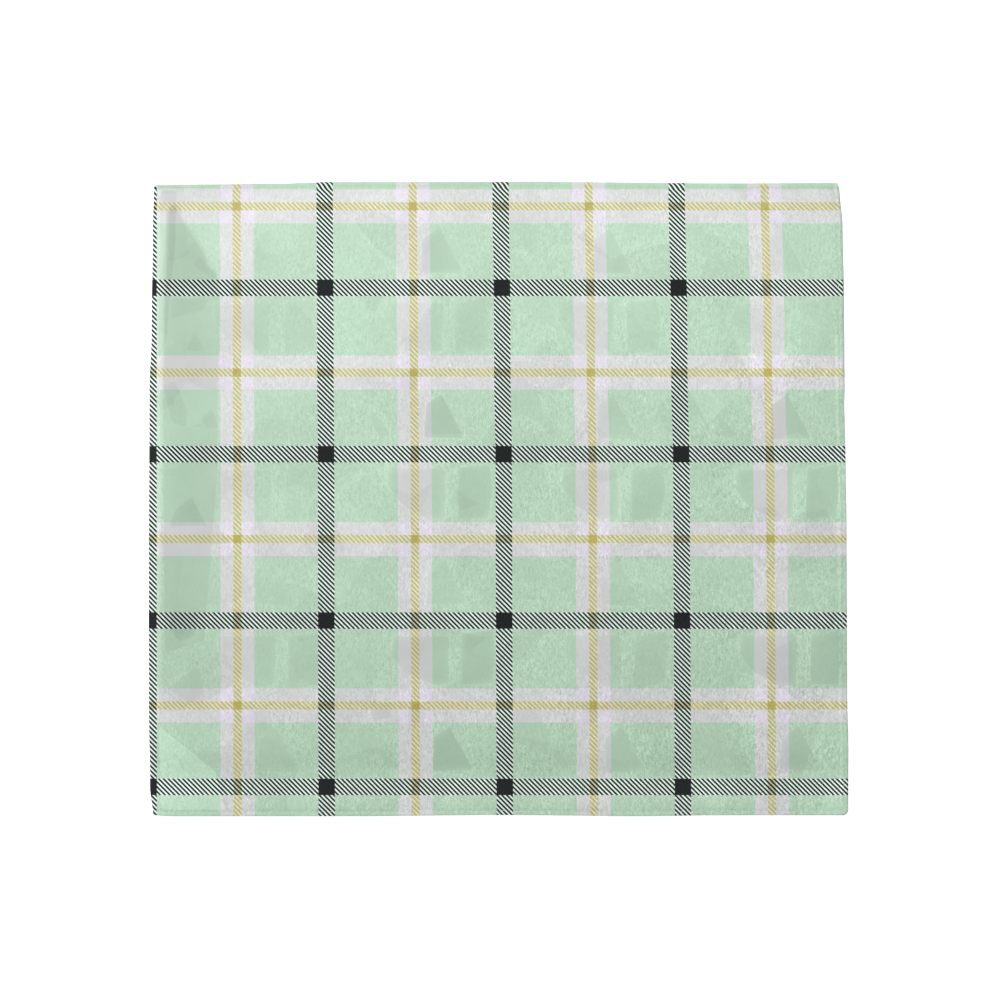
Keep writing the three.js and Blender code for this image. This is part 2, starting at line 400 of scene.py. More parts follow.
def pressed_relief(across, down):
    """Height that the tilt of the main patches gives."""
    relief = np.zeros(np.shape(across))
    downhill = math.radians(PRESSED_DOWNHILL)
    for patch in SHADE_PATCHES:
        if patch.set != "main":
            continue
        near = near_patch(patch.corners, across, down, PRESSED_EDGE)
        x = across[near]
        y = down[near]
        share = smooth(inside_patch(patch.corners, x, y), -PRESSED_EDGE, PRESSED_EDGE)
        middle_x, middle_y = patch.corners.mean(axis=0)
        uphill = (middle_x - x) * math.cos(downhill) - (middle_y - y) * math.sin(downhill)
        relief[near] += share * uphill * PRESSED_SLOPE * patch.tone
    return relief


def painted_shade_values(across, down, patch_set):
    """How far each place lies inside the nearest patch of a set, in millimetres, and its tone of painted
    shade, or of painted light below 0.
    """
    inside = np.full(np.shape(across), -SHADE_PATCH_REACH)
    tone = np.zeros(np.shape(across))
    for patch in SHADE_PATCHES:
        if patch.set != patch_set:
            continue
        near = np.flatnonzero(near_patch(patch.corners, across, down, SHADE_PATCH_REACH))
        depth = inside_patch(patch.corners, across[near], down[near])
        deeper = depth > inside[near]
        inside[near[deeper]] = depth[deeper]
        tone[near[deeper]] = patch.tone
    return inside, tone


SHADE_PATCHES = shade_patches()


class Folding:
    """Takes places on the cut cloth to places in the folded stack. All its lengths are millimetres."""

    def __init__(self, sizes):
        self.width = sizes.width / MM
        self.height = sizes.height / MM
        self.cloth = sizes.thickness / MM
        self.solid_stack = sizes.solid_stack / MM
        self.hem_width = sizes.hem_width / MM
        self.hem_extra = sizes.hem_extra / MM
        self.side_radius = sizes.layer_pitch / MM / 2
        self.top_radius = sizes.layer_pitch / MM
        self.side_arc = math.pi / 2 * self.side_radius
        self.top_arc = math.pi / 2 * self.top_radius
        self.side_reach = self.side_radius + self.cloth / 2
        self.top_reach = self.top_radius + self.side_reach
        self.half_cut_width = self.width - self.side_reach + self.side_arc
        self.half_cut_height = self.height - self.top_reach + self.top_arc

    @staticmethod
    def hairpin(travel, radius, arc, side):
        """The cloth comes in flat, turns round the fold and goes back flat, side away from its middle."""
        turn = np.clip(travel / radius, -math.pi / 2, math.pi / 2)
        past = np.maximum(np.abs(travel) - arc, 0)
        along = past - (radius + side) * np.cos(turn)
        height = (radius + side) * np.sin(turn)
        return along, height

    def inside_hem(self, u, v):
        """Distance from the nearest edge of the cut cloth."""
        return np.minimum(self.half_cut_width - np.abs(u), self.half_cut_height - np.abs(v))

    def hem_share(self, u, v):
        inside = self.inside_hem(u, v)
        return 1 - smooth(inside, self.hem_width, self.hem_width + HEM_TAPER)

    def face_level(self, u, v, outward):
        """Distance of a face from the cloth's middle. outward is 1 for the printed face, -1 for the other."""
        inside = self.inside_hem(u, v)
        extra = self.hem_extra * self.hem_share(u, v)
        half = (self.cloth + extra) / 2
        into_edge = np.clip(half - inside, 0, None)
        rounded = np.sqrt(np.clip(half**2 - into_edge**2, 0, None))
        groove = STITCH_GROOVE * np.exp(-(((inside - STITCH_LINE) / STITCH_GROOVE_WIDTH) ** 2))
        return -extra / 2 + outward * (rounded - groove)

    @staticmethod
    def by_layer(u, v):
        """The row of the table of layers at each place on the cut."""
        upper = [np.where(u > 0, *pair) for pair in zip(LAYERS["top"], LAYERS["second"])]
        under = [np.where(u > 0, *pair) for pair in zip(LAYERS["lowest"], LAYERS["third"])]
        return Layer(*(np.where(v > 0, *pair) for pair in zip(upper, under)))

    def relief(self, across, down):
        """Height of the swell, the ripples, the creases and the tilt of the main patches above the level
        stack.
        """
        total = swell_at(across, down)
        inside = smooth(across, 0, RIPPLE_START) * smooth(down, 0, RIPPLE_START)
        for ripple in RIPPLES:
            total = total + ripple_at(ripple, across, down) * inside
        for crease in SOFT_CREASES:
            total = total + CREASE_RELIEF * soft_crease_at(crease, across, down)
        return total + pressed_relief(across, down)

    def settled(self, across, down):
        """Share of the height that is left where the open hems settle."""
        right = 1 - smooth(self.width - across, 0, SETTLE_RUN)
        bottom = 1 - smooth(self.height - down, 0, SETTLE_RUN)
        right_waves = waves(down, SETTLE_LENGTHS, SETTLE_PHASE_RIGHT)
        bottom_waves = waves(across, SETTLE_LENGTHS, SETTLE_PHASE_BOTTOM)
        right_loss = right * (SETTLE_SHARE + SETTLE_WAVE * right_waves)
        bottom_loss = bottom * (SETTLE_SHARE + SETTLE_WAVE * bottom_waves)
        return (1 - right_loss) * (1 - bottom_loss * (1 - SETTLE_SHARED * right))

    def corner_draw(self, across, down):
        """How far the open corner is drawn in towards its middle, which makes it round."""
        to_side = np.clip((across - self.width) / CORNER_RADIUS + 1, 0, 1)
        to_end = np.clip((down - self.height) / CORNER_RADIUS + 1, 0, 1)
        diagonal = np.hypot(to_side, to_end)
        diagonal = np.where(diagonal > 0, diagonal, 1)
        share = CORNER_RADIUS * (1 - np.maximum(to_side, to_end) / diagonal)
        return to_side * share, to_end * share

    def folded(self, u, v, side):
        """Places after both hairpins: across from the left fold, down from the top fold, and height."""
        layer_along, layer_height = self.hairpin(u, self.side_radius, self.side_arc, side)
        half_along, half_height = self.hairpin(v, self.top_radius, self.top_arc, layer_height)
        return layer_along + self.side_reach, half_along + self.top_reach, half_height + self.top_reach

    def fitted_move(self, across, down, right, bottom):
        """How far places move right and down to fit the outline, by their share of each side's inset."""
        to_right = across / self.width
        to_bottom = down / self.height
        move_right = eased(LEFT_INSET, down) * (1 - to_right) - right * to_right
        move_down = eased(TOP_INSET, across) * (1 - to_bottom) - bottom * to_bottom
        return move_right, move_down

    def place(self, u, v, side):
        """Places in the folded stack, in metres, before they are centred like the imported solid."""
        across, down, height = self.folded(u, v, side)
        layer = self.by_layer(u, v)
        phase = WANDER_PHASE_ACROSS * np.sign(u) + WANDER_PHASE_DOWN * np.sign(v)
        lower = smooth(down, *PEEP_ENDS)
        right_peep = layer.right_near_fold + (layer.right - layer.right_near_fold) * lower
        right_peep = right_peep + layer.wander * (1 + waves(down, WANDER_LENGTHS, phase)) * lower
        bottom_waves = waves(across, WANDER_LENGTHS, phase + WANDER_PHASE_BOTTOM)
        bottom_peep = layer.bottom + layer.wander * (1 + bottom_waves)
        right = eased(RIGHT_INSET, down) + right_peep
        bottom = eased(BOTTOM_INSET, across) + bottom_peep * smooth(across, 0, BOTTOM_PEEP_RUN)
        move_x, move_y = self.fitted_move(across, down, right, bottom)
        corner_x, corner_y = self.corner_draw(across, down)
        x = across + move_x - corner_x
        y = down + move_y - corner_y
        level = 2 * self.top_reach
        loft = (self.solid_stack + self.relief(across, down)) / level * self.settled(across, down)
        return np.stack([x - self.width / 2, self.height / 2 - y, height * loft], axis=-1) * MM

    def print_place(self, u, v):
        """Where a place on the cut lies on the print. The lines run straight past uneven folds and hems."""
        across = np.maximum(np.abs(u) - self.side_arc, 0) + self.side_reach
        down = np.maximum(np.abs(v) - self.top_arc, 0) + self.top_reach
        right = (eased(RIGHT_INSET, down) - eased(RIGHT_LEAN, down)) * np.sign(u)
        bottom = (eased(BOTTOM_INSET, across) - BOTTOM_LEAN) * np.sign(v)
        move_u, move_v = self.fitted_move(across, down, right, bottom)
        return np.stack([u + move_u, v + move_v], axis=-1) * MM

    def centring(self):
        """The move that brings the sheet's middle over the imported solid's."""
        low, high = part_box(SOLID)
        halves = (self.half_cut_width, self.half_cut_height)
        lines = [np.linspace(-half, half, OUTLINE_STEPS) for half in halves]
        corners = self.place(*np.meshgrid(*lines), self.cloth / 2)
        middle = (corners.min(axis=(0, 1)) + corners.max(axis=(0, 1))) / 2
        return np.array([(low.x + high.x) / 2 - middle[0], (low.y + high.y) / 2 - middle[1], 0.0])


def cut_lines(half_cut, arc, coarse_steps):
    """Mesh lines along one direction of the cut, fine past the fold, and which the coarser face uses."""
    hem = half_cut - np.array(HEM_LINES)
    before = np.linspace(arc, hem[0], coarse_steps + 1)
    after = np.linspace(arc, hem[0], coarse_steps * FINE_STEPS + 1)
    fold = np.linspace(-arc, arc, FOLD_STEPS + 1)
    lines = np.concatenate([-hem[:0:-1], -before[:0:-1], fold, after[1:], hem[1:]])
    past_fold = np.arange(len(lines)) - (len(hem) + coarse_steps + FOLD_STEPS - 1)
    between = (past_fold > 0) & (past_fold < len(after)) & (past_fold % FINE_STEPS > 0)
    return lines, np.flatnonzero(~between)


def reverse_faces(printed, reverse, rows, columns):
    """Faces of the coarser side. Along the hems they take in every vertex of the finer side's edge."""
    faces = []
    last_row = len(rows) - 2
    last_column = len(columns) - 2
    for row in range(len(rows) - 1):
        for column in range(len(columns) - 1):
            top, low = rows[row], rows[row + 1]
            left, right = columns[column], columns[column + 1]
            corners = reverse[[row, row, row + 1, row + 1], [column, column + 1, column + 1, column]]
            edges = (
                printed[top, left + 1 : right] if row == 0 else (),
                printed[top + 1 : low, right] if column == last_column else (),
                printed[low, left + 1 : right][::-1] if row == last_row else (),
                printed[top + 1 : low, left][::-1] if column == 0 else (),
            )
            faces.append([vertex for corner, edge in zip(corners, edges) for vertex in (corner, *edge)])
    return faces


def add_values(mesh, name, values):
    attribute = mesh.attributes.new(name, "FLOAT", "POINT")
    attribute.data.foreach_set("value", np.asarray(values, np.float32))


def cloth_mesh(folding):
    """The closed sheet: the printed face, the coarser reverse and the hem edges that join them."""
    u_lines, u_kept = cut_lines(folding.half_cut_width, folding.side_arc, COARSE_STEPS_ACROSS)
    v_lines, v_kept = cut_lines(folding.half_cut_height, folding.top_arc, COARSE_STEPS_DOWN)
    u, v = np.meshgrid(u_lines, v_lines)
    coarse_u, coarse_v = np.meshgrid(u_lines[u_kept], v_lines[v_kept])
    printed = np.arange(u.size).reshape(u.shape)
    inner = np.zeros(coarse_u.shape, bool)
    inner[1:-1, 1:-1] = True
    reverse = printed[np.ix_(v_kept, u_kept)].copy()
    reverse[inner] = u.size + np.arange(inner.sum())

    centring = folding.centring()
    printed_points = folding.place(u, v, folding.face_level(u, v, 1)).reshape(-1, 3)
    inner_u = coarse_u[inner]
    inner_v = coarse_v[inner]
    reverse_points = folding.place(inner_u, inner_v, folding.face_level(inner_u, inner_v, -1))
    points = np.concatenate([printed_points, reverse_points]) + centring
    print_places = np.concatenate(
        [folding.print_place(u, v).reshape(-1, 2), folding.print_place(inner_u, inner_v)]
    )

    quads = np.stack(
        [printed[:-1, :-1], printed[1:, :-1], printed[1:, 1:], printed[:-1, 1:]], axis=-1
    ).reshape(-1, 4)
    faces = quads.tolist() + reverse_faces(printed, reverse, v_kept, u_kept)
    mesh = bpy.data.meshes.new(CLOTH_NAME)
    mesh.from_pydata(points, [], faces)
    mesh.shade_smooth()

    corner_vertex = np.zeros(len(mesh.loops), np.int32)
    mesh.loops.foreach_get("vertex_index", corner_vertex)
    layer = mesh.uv_layers.new(name=PRINT_MAP)
    layer.uv.foreach_set("vector", print_places[corner_vertex].astype(np.float32).ravel())
    reverse_share = np.zeros(len(points), np.float32)
    reverse_share[u.size :] = 1
    add_values(mesh, REVERSE_SHARE, reverse_share)
    across, down, _ = folding.folded(
        np.concatenate([u.ravel(), inner_u]), np.concatenate([v.ravel(), inner_v]), 0
    )
    # The patches of painted shade and painted light go on the cloth as values that the material reads
    for patch_set in SHADE_PATCH_SETS:
        inside, tone = painted_shade_values(across, down, patch_set)
        add_values(mesh, SHADE_PATCH_INSIDE + patch_set, inside)
        add_values(mesh, PAINTED_SHADE_TONE + patch_set, tone)
    return mesh


def add_node(tree, kind, settings, values):
    """Adds a node. Its settings are set first, then the values or links of its sockets."""
    made = tree.nodes.new(kind)
    for name, setting in settings.items():
        setattr(made, name, setting)
    for socket, value in values.items():
        if isinstance(value, bpy.types.NodeSocket):
            tree.links.new(value, made.inputs[socket])
        else:
            made.inputs[socket].default_value = value
    return made


class Field:
    """A number at a socket of a shader tree. An expression on fields adds the Math nodes that it needs."""

    def __init__(self, shader, socket):
        self.shader = shader
        self.socket = socket

    def math(self, operation, *others):
        values = dict(enumerate((self, *others)))
        return self.shader.node("ShaderNodeMath", {"operation": operation}, values)

    def __add__(self, other):
        return self.math("ADD", other)

    __radd__ = __add__

    def __sub__(self, other):
        return self.math("SUBTRACT", other)

    def __rsub__(self, other):
        return self.shader.node("ShaderNodeMath", {"operation": "SUBTRACT"}, {0: other, 1: self})

    def __mul__(self, other):
        return self.math("MULTIPLY", other)

    __rmul__ = __mul__

    def __truediv__(self, other):
        return self.math("DIVIDE", other)

    def size(self):
        return self.math("ABSOLUTE")

    def fraction(self):
        return self.math("FRACT")

    def larger(self, other):
        return self.math("MAXIMUM", other)

    def clamped(self):
        return self.shader.node("ShaderNodeClamp", {}, {"Value": self})


class Shader:
    """A material and the nodes that make it."""

    def __init__(self, name):
        self.material = bpy.data.materials.new(name)
        self.material.use_nodes = True
        self.tree = self.material.node_tree
        self.tree.nodes.clear()

    def node(self, kind, settings, values, output=0):
        """Adds a node, and gives one of its outputs as a field."""
        linked = {name: value.socket for name, value in values.items() if isinstance(value, Field)}
        made = add_node(self.tree, kind, settings, {**values, **linked})
        return Field(self, made.outputs[output]) if made.outputs else None

    def attribute(self, name):
        return self.node("ShaderNodeAttribute", {"attribute_name": name}, {}, output="Fac")

    def part(self, place, number):
        """One part of a vector."""
        return self.node("ShaderNodeSeparateXYZ", {}, {"Vector": place}, output=number)

    def mix(self, share, first, second):
        """A colour between two others."""
        return self.node("ShaderNodeMix", {"data_type": "RGBA"}, {0: share, 6: first, 7: second}, 2)

    def tinted(self, tint, lightness):
        """A colour made lighter or darker by a number round 1."""
        grey = self.node("ShaderNodeCombineColor", {}, {0: lightness, 1: lightness, 2: lightness})
        values = {0: 1.0, 6: tint, 7: grey}
        return self.node("ShaderNodeMix", {"data_type": "RGBA", "blend_type": "MULTIPLY"}, values, 2)

    def noise(self, place, scale, detail, distortion=0.0):
        values = {"Vector": place, "Scale": scale, "Detail": detail, "Distortion": distortion}
        return self.node("ShaderNodeTexNoise", {"noise_dimensions": "3D"}, values)

    def scaled(self, place, factors):
        """A vector with each part multiplied by its own factor."""
        return self.node("ShaderNodeVectorMath", {"operation": "MULTIPLY"}, {0: place, 1: factors})

    def bump(self, height, distance, strength, normal=None):
        values = {"Height": height, "Distance": distance, "Strength": strength}
        if normal is not None:
            values["Normal"] = normal
        return self.node("ShaderNodeBump", {}, values)

    def finish(self, values):
        """The surface shader, and the material's output."""
        surface = self.node("ShaderNodeBsdfPrincipled", {}, values)
        self.node("ShaderNodeOutputMaterial", {}, {"Surface": surface})
        return self.material


# Softness of the printed edges and wobble of the lines, in metres, and the share of a stroke in its pitch
PRINT_SOFTNESS = 0.22 * MM
TWILL_SOFTNESS = 0.32 * MM
TWILL_SHARE = 0.59
LINE_WOBBLE = 0.18 * MM
WOBBLE_SCALE = 260.0
OCHRE_UNDER_DARK = 0.75

# Where the first dark line and the first ribbon lie, as shares of the repeat from the fold
DARK_ACROSS = 0.005
RIBBON_ACROSS = 0.505
DARK_DOWN = 0.64
RIBBON_DOWN = 0.15


def from_line(place, share, repeat):
    """Distance from the nearest of the lines that lie at a share of every repeat."""
    offset = (place / repeat - share + 0.5).fraction() - 0.5
    return (offset * repeat).size()


def line_mask(distance, width):
    return ((width / 2 - distance) / PRINT_SOFTNESS + 0.5).clamped()


def bands(place, dark_share, ribbon_share, repeat, sizes):
    """Masks of the dark lines, the ribbons and their ochre lines that run one way."""
    dark = line_mask(from_line(place, dark_share, repeat), sizes.line_width)
    to_ribbon = from_line(place, ribbon_share, repeat)
    return dark, line_mask(to_ribbon, sizes.ribbon_width), line_mask(to_ribbon, sizes.accent_width)


def printed_colour(shader, place, sizes):
    """Colour of the print at a place on its map, and how much of it is dark ink: dark twill lines, and
    ribbons with an ochre line."""
    wobble = (shader.noise(place, WOBBLE_SCALE, 2.0) - 0.5) * LINE_WOBBLE
    u = shader.part(place, 0) + wobble
    v = shader.part(place, 1) + wobble

    dark_u, ribbon_u, accent_u = bands(u, DARK_ACROSS, RIBBON_ACROSS, sizes.repeat_across, sizes)
    dark_v, ribbon_v, accent_v = bands(v, DARK_DOWN, RIBBON_DOWN, sizes.repeat_down, sizes)
    dark_any = dark_u.larger(dark_v)
    accent_any = accent_u.larger(accent_v)

    diagonal = ((u - v) / sizes.twill_pitch).fraction() - 0.5
    stroke = diagonal.size() - (1 - TWILL_SHARE) / 2
    stroke = (stroke * (sizes.twill_pitch / TWILL_SOFTNESS) + 0.5).clamped()

    ground = shader.mix(ribbon_u.larger(ribbon_v), sizes.mint, sizes.ribbon)
    ground = shader.mix(ribbon_u * ribbon_v, ground, sizes.ribbon_crossing)
    ochre_twill = shader.mix(stroke, sizes.ochre_gap, sizes.ochre)
    ochre_twill = shader.mix(accent_u * accent_v, ochre_twill, sizes.ochre_dot)
    ground = shader.mix(accent_any, ground, ochre_twill)
    gap = shader.mix(accent_any * OCHRE_UNDER_DARK, sizes.dark_gap, sizes.ochre)
    filled = stroke.larger(dark_u * dark_v)
    dark_twill = shader.mix(filled, gap, sizes.dark)
    ink = dark_any * filled
    return shader.mix(dark_any, ground, dark_twill), ink


# The crepe: streaks and pebbles across it, broad mottling, and flat facets at random places, which are
# painted lighter and darker as painted sheen and painted shade
STREAKS = (1500.0, 520.0, 1.0)
PEBBLES = (900.0, 700.0, 1.0)
MOTTLE_SCALE = 60.0
FACET_SCALE = 58.0

# How the crepe's strength grows: its level at the fold and its growth for each metre
CREPE_ACROSS = (0.6, 1.6)
CREPE_DOWN = (0.8, 1.6)
CREPE_LEVEL = 1.39
CREPE_UNEVEN = 3.0
CREPE_LOST_IN_PATCH = 0.85

# How much each of them lightens or darkens the cloth, and how deep the crepe is, in metres
STREAK_TONE = 0.6
PEBBLE_TONE = 0.3
MOTTLE_TONE = 0.17
# The facets' tone is painted sheen and painted shade
FACET_PAINTED_SHEEN = 0.13
# The patches' tone is painted shade, and painted light where it is below 0
PAINTED_SHADE_STRENGTH = 0.09
STREAK_DEPTH = 0.09 * MM
PEBBLE_DEPTH = 0.12 * MM
BUMP_STRENGTH = 0.8
REVERSE_PALENESS = 0.55

# The satin's gloss without ink and its roughness, and how much the pebbles vary each of them
GLOSS = 0.85
GLOSS_UNEVEN = 0.5
ROUGHNESS = 0.55
ROUGHNESS_UNEVEN = 0.2

# Softness of the edge of a patch of painted shade or painted light, in millimetres
SHADE_PATCH_SOFTNESS = 0.35


def painted_patch_shade(shader):
    """Painted shade and painted light of the patches, with crisp edges, from the values that the cloth
    carries.
    """
    total = 0
    for patch_set in SHADE_PATCH_SETS:
        inside = shader.attribute(SHADE_PATCH_INSIDE + patch_set)
        tone = shader.attribute(PAINTED_SHADE_TONE + patch_set)
        total = tone * (inside / SHADE_PATCH_SOFTNESS + 0.5).clamped() + total
    return total


def grown(shader, place, number, growth):
    """The strength of the crepe along one direction, from its level at the fold."""
    level, per_metre = growth
    return shader.part(place, number).size() * per_metre + level


def satin_material(sizes):
    """Light crepe satin with the print on one face and a paler reverse."""
    shader = Shader("printed_satin")
    place = shader.node("ShaderNodeUVMap", {"uv_map": PRINT_MAP}, {})
    print_colour, ink = printed_colour(shader, place, sizes)
    worn = shader.mix(shader.attribute(REVERSE_SHARE) * REVERSE_PALENESS, print_colour, sizes.dark_gap)

    # Painted shade and painted light of the patches
    painted_shade = painted_patch_shade(shader)
    streaks = shader.noise(shader.scaled(place, STREAKS), 1.0, 2.0, 1.2) - 0.5
    pebbles = shader.noise(shader.scaled(place, PEBBLES), 1.0, 2.0, 1.5) - 0.5
    mottle = shader.noise(place, MOTTLE_SCALE, 3.0) - 0.5
    # Flat facets at random places, painted lighter and darker as painted sheen and painted shade
    facet_values = {"Vector": place, "Scale": FACET_SCALE, "Randomness": 1.0}
    facets = shader.node("ShaderNodeTexVoronoi", {}, facet_values, output="Color") - 0.5
    crepe = grown(shader, place, 0, CREPE_ACROSS) * grown(shader, place, 1, CREPE_DOWN)
    crepe = crepe * (CREPE_LEVEL + mottle * CREPE_UNEVEN)
    crepe = crepe * (1 - painted_shade.clamped() * CREPE_LOST_IN_PATCH)
    lightness = 1 + (streaks * STREAK_TONE + pebbles * PEBBLE_TONE) * crepe
    # The patches add their painted shade and painted light to the colour
    lightness = lightness + mottle * MOTTLE_TONE + facets * FACET_PAINTED_SHEEN - painted_shade * PAINTED_SHADE_STRENGTH

    normal = shader.bump(streaks * crepe, STREAK_DEPTH, BUMP_STRENGTH)
    normal = shader.bump(pebbles * crepe, PEBBLE_DEPTH, BUMP_STRENGTH, normal)
    gloss = (1 - ink) * (GLOSS + pebbles * GLOSS_UNEVEN)
    return shader.finish(
        {
            "Base Color": shader.tinted(worn, lightness),
            "Roughness": ROUGHNESS + pebbles * ROUGHNESS_UNEVEN,
            "Specular IOR Level": 0.12,
            "Coat Weight": gloss.clamped(),
            "Coat Roughness": 0.5,
            "Coat IOR": 1.8,
            "Normal": normal,
        }
    )


# The twist of the thread's plies, and the faint mottling of the floor
TWIST = (5200.0, 5200.0, 5200.0)
TWIST_TONE = 0.2
TWIST_DEPTH = 0.03 * MM
FLOOR_MOTTLE_SCALE = 6.0
FLOOR_MOTTLE_TONE = 0.02


def thread_material(tint):
    """Polyester sewing thread, with the twist of its plies as a bump."""
    shader = Shader("sewing_thread")
    place = shader.node("ShaderNodeTexCoord", {}, {}, output="Object")
    fibres = shader.noise(shader.scaled(place, TWIST), 1.0, 2.0)
    return shader.finish(
        {
            "Base Color": shader.tinted(tint, 1 - TWIST_TONE / 2 + fibres * TWIST_TONE),
            "Roughness": 0.45 + (fibres - 0.5) * TWIST_TONE,
            "Specular IOR Level": 0.6,
            "Normal": shader.bump(fibres, TWIST_DEPTH, 1.0),
        }
    )


def floor_material(tint, glow):
    """Plain pale board, lit from below as well, so that shadows on it stay faint."""
    shader = Shader("pale_floor")
    place = shader.node("ShaderNodeTexCoord", {}, {}, output="Object")
    mottle = shader.noise(place, FLOOR_MOTTLE_SCALE, 2.0)
    lightness = 1 - FLOOR_MOTTLE_TONE / 2 + mottle * FLOOR_MOTTLE_TONE
    return shader.finish(
        {
            "Base Color": shader.tinted(tint, lightness),
            "Roughness": 0.8,
            "Specular IOR Level": 0.2,
            "Emission Color": (1.0, 1.0, 1.0, 1.0),
            "Emission Strength": glow,
        }
    )


def link_object(name, data):
    piece = bpy.data.objects.new(name, data)
    bpy.context.scene.collection.objects.link(piece)
    return piece


# The line of the stitches has this many points for each millimetre, and the stitches stay this far from
# where the cloth turns, in millimetres
POINTS_PER_MILLIMETRE = 2
FOLD_CLEARANCE = 1.1
FACING_STEP = 0.1


def stitch_path(folding, outward):
    """The line of stitches round the hems on one face: its points, the way that they face, and which of
    them are clear of the folds."""
    across = folding.half_cut_width - STITCH_LINE
    down = folding.half_cut_height - STITCH_LINE
    count_across = int(POINTS_PER_MILLIMETRE * across)
    count_down = int(POINTS_PER_MILLIMETRE * down)
    along_u = np.linspace(-across, across, count_across, endpoint=False)
    along_v = np.linspace(-down, down, count_down, endpoint=False)
    u = np.concatenate([along_u, np.full(count_down, across), -along_u, np.full(count_down, -across)])
    v = np.concatenate([np.full(count_across, -down), along_v, np.full(count_across, down), -along_v])
    level = folding.face_level(u, v, outward)
    points = folding.place(u, v, level)
    facing = folding.place(u, v, level + outward * FACING_STEP) - points
    facing = facing / np.linalg.norm(facing, axis=1, keepdims=True)
    clear = (np.abs(u) > folding.side_arc + FOLD_CLEARANCE) & (np.abs(v) > folding.top_arc + FOLD_CLEARANCE)
    return points + folding.centring(), facing, clear


def stitch_path_object(folding):
    """Both lines of stitches as one mesh of edges, with the way that the cloth faces as an attribute."""
    points = []
    facings = []
    edges = []
    for outward in (1, -1):
        line, facing, clear = stitch_path(folding, outward)
        first = sum(len(part) for part in points)
        steps = np.arange(len(line))
        after = (steps + 1) % len(line)
        sewn = clear & clear[after]
        edges.append(first + np.stack([steps, after], axis=1)[sewn])
        points.append(line)
        facings.append(facing)
    mesh = bpy.data.meshes.new("stitch_path")
    mesh.from_pydata(np.concatenate(points), np.concatenate(edges), [])
    attribute = mesh.attributes.new(FACING, "FLOAT_VECTOR", "POINT")
    attribute.data.foreach_set("vector", np.concatenate(facings).astype(np.float32).ravel())
    return link_object("stitch_path", mesh)


# The thread's curve and section are coarse, because it is far finer than a step of the print
BOW_STEPS = 4
SECTION_SIDES = 5
SUNK_SHARE = -0.7
LEAN = 0.05
LEAN_SEED = 5


class StitchTree:
    """A Geometry Nodes tree that sets a row of stitches along edges."""

    def __init__(self):
        self.tree = bpy.data.node_groups.new("stitch_row", "GeometryNodeTree")
        self.identifiers = {}
        self.tree.interface.new_socket("Geometry", in_out="OUTPUT", socket_type="NodeSocketGeometry")
        self.add_input("Geometry", "NodeSocketGeometry")
        for name in ("Stitch pitch", "Stitch length", "Thread thickness", "Rise"):
            self.add_input(name, "NodeSocketFloat")
        self.add_input("Thread", "NodeSocketMaterial")
        self.inputs = self.tree.nodes.new("NodeGroupInput").outputs
        self.build()

    def add_input(self, name, kind):
        made = self.tree.interface.new_socket(name, in_out="INPUT", socket_type=kind)
        self.identifiers[name] = made.identifier

    def node(self, kind, settings, values):
        """Adds a node, and gives its first output."""
        made = add_node(self.tree, kind, settings, values)
        return made.outputs[0] if made.outputs else None

    def scaled(self, value, factor):
        return self.node("ShaderNodeMath", {"operation": "MULTIPLY"}, {0: value, 1: factor})

    def point(self, x, z):
        return self.node("ShaderNodeCombineXYZ", {}, {0: x, 2: z})

    def stitch(self):
        """One bowed stitch of thread. Its ends go down into the cloth."""
        half = self.scaled(self.inputs["Stitch length"], 0.5)
        radius = self.scaled(self.inputs["Thread thickness"], 0.5)
        sunk = self.scaled(self.inputs["Thread thickness"], SUNK_SHARE)
        bow = self.node(
            "GeometryNodeCurveQuadraticBezier",
            {},
            {
                "Resolution": BOW_STEPS,
                "Start": self.point(self.scaled(half, -1.0), sunk),
                "Middle": self.point(0.0, self.inputs["Rise"]),
                "End": self.point(half, sunk),
            },
        )
        section_values = {"Resolution": SECTION_SIDES, "Radius": radius}
        section = self.node("GeometryNodeCurvePrimitiveCircle", {}, section_values)
        thread_values = {"Curve": bow, "Profile Curve": section, "Fill Caps": True}
        thread = self.node("GeometryNodeCurveToMesh", {}, thread_values)
        return self.node("GeometryNodeSetShadeSmooth", {}, {"Geometry": thread})

    def turned(self):
        """Each stitch runs along the hem, leans a little at random and faces away from the cloth."""
        tangent = self.node("GeometryNodeInputTangent", {}, {})
        facing = self.node("GeometryNodeInputNamedAttribute", {"data_type": "FLOAT_VECTOR"}, {"Name": FACING})
        lean_values = {"Min": (-LEAN,) * 3, "Max": (LEAN,) * 3, "Seed": LEAN_SEED}
        lean = self.node("FunctionNodeRandomValue", {"data_type": "FLOAT_VECTOR"}, lean_values)
        aim = self.node("ShaderNodeVectorMath", {"operation": "ADD"}, {0: tangent, 1: lean})
        along = self.node("FunctionNodeAlignRotationToVector", {"axis": "X"}, {"Vector": aim})
        upright = {"axis": "Z", "pivot_axis": "X"}
        return self.node("FunctionNodeAlignRotationToVector", upright, {"Rotation": along, "Vector": facing})

    def build(self):
        line = self.node("GeometryNodeMeshToCurve", {}, {"Mesh": self.inputs["Geometry"]})
        row_values = {"Curve": line, "Length": self.inputs["Stitch pitch"]}
        row = self.node("GeometryNodeResampleCurve", {"mode": "LENGTH"}, row_values)
        placed_values = {"Points": row, "Instance": self.stitch(), "Rotation": self.turned()}
        placed = self.node("GeometryNodeInstanceOnPoints", {}, placed_values)
        real = self.node("GeometryNodeRealizeInstances", {}, {"Geometry": placed})
        finished_values = {"Geometry": real, "Material": self.inputs["Thread"]}
        finished = self.node("GeometryNodeSetMaterial", {}, finished_values)
        self.node("NodeGroupOutput", {}, {"Geometry": finished})


